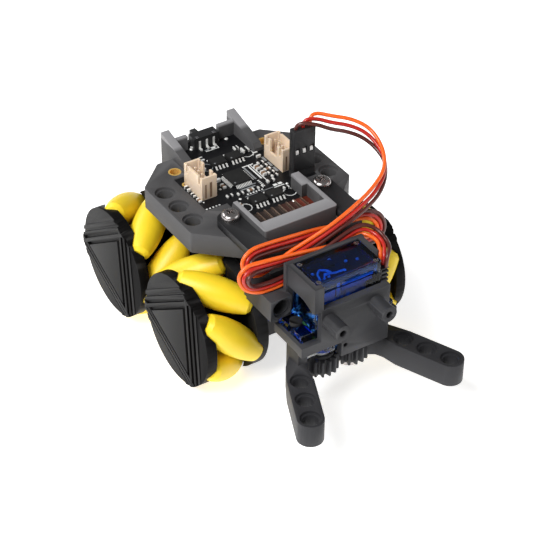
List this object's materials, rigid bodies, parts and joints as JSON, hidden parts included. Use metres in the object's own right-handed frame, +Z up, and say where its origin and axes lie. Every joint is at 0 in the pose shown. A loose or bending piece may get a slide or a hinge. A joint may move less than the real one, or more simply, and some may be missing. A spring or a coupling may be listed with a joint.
{
  "type": "mecanum wheel robot",
  "caption": "Small programmable car with mecanum wheels, an open controller board on its deck and a servo gripper with two geared arms in front.",
  "frame": {"origin": "on the floor under the middle of the robot's length and width, measured over wheels and gripper arms", "axes": "+Z up; the front with the gripper is -Y; +X is the robot's own left side"},
  "size_m": [0.0729, 0.1176, 0.0704],
  "materials": {
    "shell_plastic": "fine matt nylon",
    "hub_plastic": "satin black",
    "roller_rubber": "smooth soft yellow",
    "bracket_plastic": "fine matt nylon",
    "board_mask": "black solder mask",
    "chip_epoxy": "moulded",
    "small_parts": "ceramic and tinned ends",
    "socket_nylon": "natural",
    "black_plastic": "moulded",
    "gold_contacts": "gold plated",
    "brass": "turned",
    "steel": "nickel plated",
    "switch_shell": "stamped",
    "motor_metal": "plated",
    "battery_wrap": "shrink wrap",
    "servo_blue": "clear tinted",
    "horn_white": "moulded nylon",
    "internals": "mixed metal and board",
    "wire_brown_pvc": "PVC",
    "wire_red_pvc": "PVC",
    "wire_orange_pvc": "PVC"
  },
  "bodies": {
    "chassis": {"upper_shell": "shell_plastic", "lower_shell": "hub_plastic", "main_board": "board_mask", "board_chips": "chip_epoxy", "board_parts": "small_parts", "wire_sockets": "socket_nylon", "servo_header": "black_plastic", "dock_contacts": "gold_contacts", "switch_body": "switch_shell", "brass_inserts": "brass", "bracket_screws": "steel", "gear_motors": "motor_metal", "battery": "battery_wrap", "gripper_bracket": "bracket_plastic", "servo_case": "servo_blue", "servo_cover": "servo_blue", "servo_screws": "steel", "servo_internals": "internals", "pivot_screw": "steel", "servo_strain_relief": "black_plastic", "wire_brown": "wire_brown_pvc", "wire_red": "wire_red_pvc", "wire_orange": "wire_orange_pvc", "servo_plug": "black_plastic"},
    "drive_arm": {"drive_arm": "bracket_plastic", "servo_horn": "horn_white"},
    "idler_arm": {"idler_arm": "bracket_plastic"},
    "switch_knob": {"switch_knob": "black_plastic"},
    "wheel_front_right": {"hub_outer_front_right": "hub_plastic", "hub_inner_front_right": "hub_plastic"},
    "wheel_rear_right": {"hub_outer_rear_right": "hub_plastic", "hub_inner_rear_right": "hub_plastic"},
    "wheel_front_left": {"hub_outer_front_left": "hub_plastic", "hub_inner_front_left": "hub_plastic"},
    "wheel_rear_left": {"hub_outer_rear_left": "hub_plastic", "hub_inner_rear_left": "hub_plastic"},
    "roller_front_right_1": {"roller_front_right_1": "roller_rubber"},
    "roller_front_right_2": {"roller_front_right_2": "roller_rubber"},
    "roller_front_right_3": {"roller_front_right_3": "roller_rubber"},
    "roller_front_right_4": {"roller_front_right_4": "roller_rubber"},
    "roller_front_right_5": {"roller_front_right_5": "roller_rubber"},
    "roller_front_right_6": {"roller_front_right_6": "roller_rubber"},
    "roller_rear_right_1": {"roller_rear_right_1": "roller_rubber"},
    "roller_rear_right_2": {"roller_rear_right_2": "roller_rubber"},
    "roller_rear_right_3": {"roller_rear_right_3": "roller_rubber"},
    "roller_rear_right_4": {"roller_rear_right_4": "roller_rubber"},
    "roller_rear_right_5": {"roller_rear_right_5": "roller_rubber"},
    "roller_rear_right_6": {"roller_rear_right_6": "roller_rubber"},
    "roller_front_left_1": {"roller_front_left_1": "roller_rubber"},
    "roller_front_left_2": {"roller_front_left_2": "roller_rubber"},
    "roller_front_left_3": {"roller_front_left_3": "roller_rubber"},
    "roller_front_left_4": {"roller_front_left_4": "roller_rubber"},
    "roller_front_left_5": {"roller_front_left_5": "roller_rubber"},
    "roller_front_left_6": {"roller_front_left_6": "roller_rubber"},
    "roller_rear_left_1": {"roller_rear_left_1": "roller_rubber"},
    "roller_rear_left_2": {"roller_rear_left_2": "roller_rubber"},
    "roller_rear_left_3": {"roller_rear_left_3": "roller_rubber"},
    "roller_rear_left_4": {"roller_rear_left_4": "roller_rubber"},
    "roller_rear_left_5": {"roller_rear_left_5": "roller_rubber"},
    "roller_rear_left_6": {"roller_rear_left_6": "roller_rubber"}
  },
  "joints": [
    {"name": "gripper_drive", "type": "hinge", "parent": "chassis", "child": "drive_arm", "pos_m": [-0.0053, -0.0308, 0.0199], "axis": [0, 0, 1], "range_deg": [-40, 40]},
    {"name": "gripper_idler", "type": "hinge", "parent": "chassis", "child": "idler_arm", "pos_m": [0.0053, -0.0308, 0.0199], "axis": [0, 0, 1], "range_deg": [-40, 40]},
    {"name": "power_switch", "type": "slide", "parent": "chassis", "child": "switch_knob", "axis": [1, 0, 0], "range_m": [0, 0.0026]},
    {"name": "wheel_front_right", "type": "hinge", "parent": "chassis", "child": "wheel_front_right", "pos_m": [-0.0251, 0.0004, 0.0193], "axis": [1, 0, 0], "continuous": true},
    {"name": "wheel_rear_right", "type": "hinge", "parent": "chassis", "child": "wheel_rear_right", "pos_m": [-0.0251, 0.0395, 0.0193], "axis": [1, 0, 0], "continuous": true},
    {"name": "wheel_front_left", "type": "hinge", "parent": "chassis", "child": "wheel_front_left", "pos_m": [0.0251, 0.0004, 0.0193], "axis": [1, 0, 0], "continuous": true},
    {"name": "wheel_rear_left", "type": "hinge", "parent": "chassis", "child": "wheel_rear_left", "pos_m": [0.0251, 0.0395, 0.0193], "axis": [1, 0, 0], "continuous": true},
    {"name": "roller_front_right_1", "type": "hinge", "parent": "wheel_front_right", "child": "roller_front_right_1", "pos_m": [-0.0251, -0.00468, 0.03256], "axis": [0.7071, -0.6601, -0.2534], "continuous": true},
    {"name": "roller_front_right_2", "type": "hinge", "parent": "wheel_front_right", "child": "roller_front_right_2", "pos_m": [-0.0251, -0.01362, 0.02152], "axis": [0.7071, -0.1106, -0.6984], "continuous": true},
    {"name": "roller_front_right_3", "type": "hinge", "parent": "wheel_front_right", "child": "roller_front_right_3", "pos_m": [-0.0251, -0.00853, 0.00826], "axis": [0.7071, 0.5495, -0.445], "continuous": true},
    {"name": "roller_front_right_4", "type": "hinge", "parent": "wheel_front_right", "child": "roller_front_right_4", "pos_m": [-0.0251, 0.00549, 0.00604], "axis": [0.7071, 0.6601, 0.2534], "continuous": true},
    {"name": "roller_front_right_5", "type": "hinge", "parent": "wheel_front_right", "child": "roller_front_right_5", "pos_m": [-0.0251, 0.01443, 0.01708], "axis": [0.7071, 0.1106, 0.6984], "continuous": true},
    {"name": "roller_front_right_6", "type": "hinge", "parent": "wheel_front_right", "child": "roller_front_right_6", "pos_m": [-0.0251, 0.00934, 0.03034], "axis": [0.7071, -0.5495, 0.445], "continuous": true},
    {"name": "roller_rear_right_1", "type": "hinge", "parent": "wheel_rear_right", "child": "roller_rear_right_1", "pos_m": [-0.0251, 0.03419, 0.03247], "axis": [0.7071, 0.6556, 0.2649], "continuous": true},
    {"name": "roller_rear_right_2", "type": "hinge", "parent": "wheel_rear_right", "child": "roller_rear_right_2", "pos_m": [-0.0251, 0.02544, 0.02128], "axis": [0.7071, 0.0984, 0.7002], "continuous": true},
    {"name": "roller_rear_right_3", "type": "hinge", "parent": "wheel_rear_right", "child": "roller_rear_right_3", "pos_m": [-0.0251, 0.03076, 0.00811], "axis": [0.7071, -0.5572, 0.4353], "continuous": true},
    {"name": "roller_rear_right_4", "type": "hinge", "parent": "wheel_rear_right", "child": "roller_rear_right_4", "pos_m": [-0.0251, 0.04482, 0.00613], "axis": [0.7071, -0.6556, -0.2649], "continuous": true},
    {"name": "roller_rear_right_5", "type": "hinge", "parent": "wheel_rear_right", "child": "roller_rear_right_5", "pos_m": [-0.0251, 0.05357, 0.01732], "axis": [0.7071, -0.0984, -0.7002], "continuous": true},
    {"name": "roller_rear_right_6", "type": "hinge", "parent": "wheel_rear_right", "child": "roller_rear_right_6", "pos_m": [-0.0251, 0.04825, 0.03049], "axis": [0.7071, 0.5572, -0.4353], "continuous": true},
    {"name": "roller_front_left_1", "type": "hinge", "parent": "wheel_front_left", "child": "roller_front_left_1", "pos_m": [0.0251, -0.00468, 0.03256], "axis": [0.7071, 0.6601, 0.2534], "continuous": true},
    {"name": "roller_front_left_2", "type": "hinge", "parent": "wheel_front_left", "child": "roller_front_left_2", "pos_m": [0.0251, -0.01362, 0.02152], "axis": [0.7071, 0.1106, 0.6984], "continuous": true},
    {"name": "roller_front_left_3", "type": "hinge", "parent": "wheel_front_left", "child": "roller_front_left_3", "pos_m": [0.0251, -0.00853, 0.00826], "axis": [0.7071, -0.5495, 0.445], "continuous": true},
    {"name": "roller_front_left_4", "type": "hinge", "parent": "wheel_front_left", "child": "roller_front_left_4", "pos_m": [0.0251, 0.00549, 0.00604], "axis": [0.7071, -0.6601, -0.2534], "continuous": true},
    {"name": "roller_front_left_5", "type": "hinge", "parent": "wheel_front_left", "child": "roller_front_left_5", "pos_m": [0.0251, 0.01443, 0.01708], "axis": [0.7071, -0.1106, -0.6984], "continuous": true},
    {"name": "roller_front_left_6", "type": "hinge", "parent": "wheel_front_left", "child": "roller_front_left_6", "pos_m": [0.0251, 0.00934, 0.03034], "axis": [0.7071, 0.5495, -0.445], "continuous": true},
    {"name": "roller_rear_left_1", "type": "hinge", "parent": "wheel_rear_left", "child": "roller_rear_left_1", "pos_m": [0.0251, 0.03419, 0.03247], "axis": [0.7071, -0.6556, -0.2649], "continuous": true},
    {"name": "roller_rear_left_2", "type": "hinge", "parent": "wheel_rear_left", "child": "roller_rear_left_2", "pos_m": [0.0251, 0.02544, 0.02128], "axis": [0.7071, -0.0984, -0.7002], "continuous": true},
    {"name": "roller_rear_left_3", "type": "hinge", "parent": "wheel_rear_left", "child": "roller_rear_left_3", "pos_m": [0.0251, 0.03076, 0.00811], "axis": [0.7071, 0.5572, -0.4353], "continuous": true},
    {"name": "roller_rear_left_4", "type": "hinge", "parent": "wheel_rear_left", "child": "roller_rear_left_4", "pos_m": [0.0251, 0.04482, 0.00613], "axis": [0.7071, 0.6556, 0.2649], "continuous": true},
    {"name": "roller_rear_left_5", "type": "hinge", "parent": "wheel_rear_left", "child": "roller_rear_left_5", "pos_m": [0.0251, 0.05357, 0.01732], "axis": [0.7071, 0.0984, 0.7002], "continuous": true},
    {"name": "roller_rear_left_6", "type": "hinge", "parent": "wheel_rear_left", "child": "roller_rear_left_6", "pos_m": [0.0251, 0.04825, 0.03049], "axis": [0.7071, -0.5572, 0.4353], "continuous": true}
  ],
  "couplings": [
    {"joint": "gripper_idler", "follows": "gripper_drive", "ratio": -1}
  ]
}
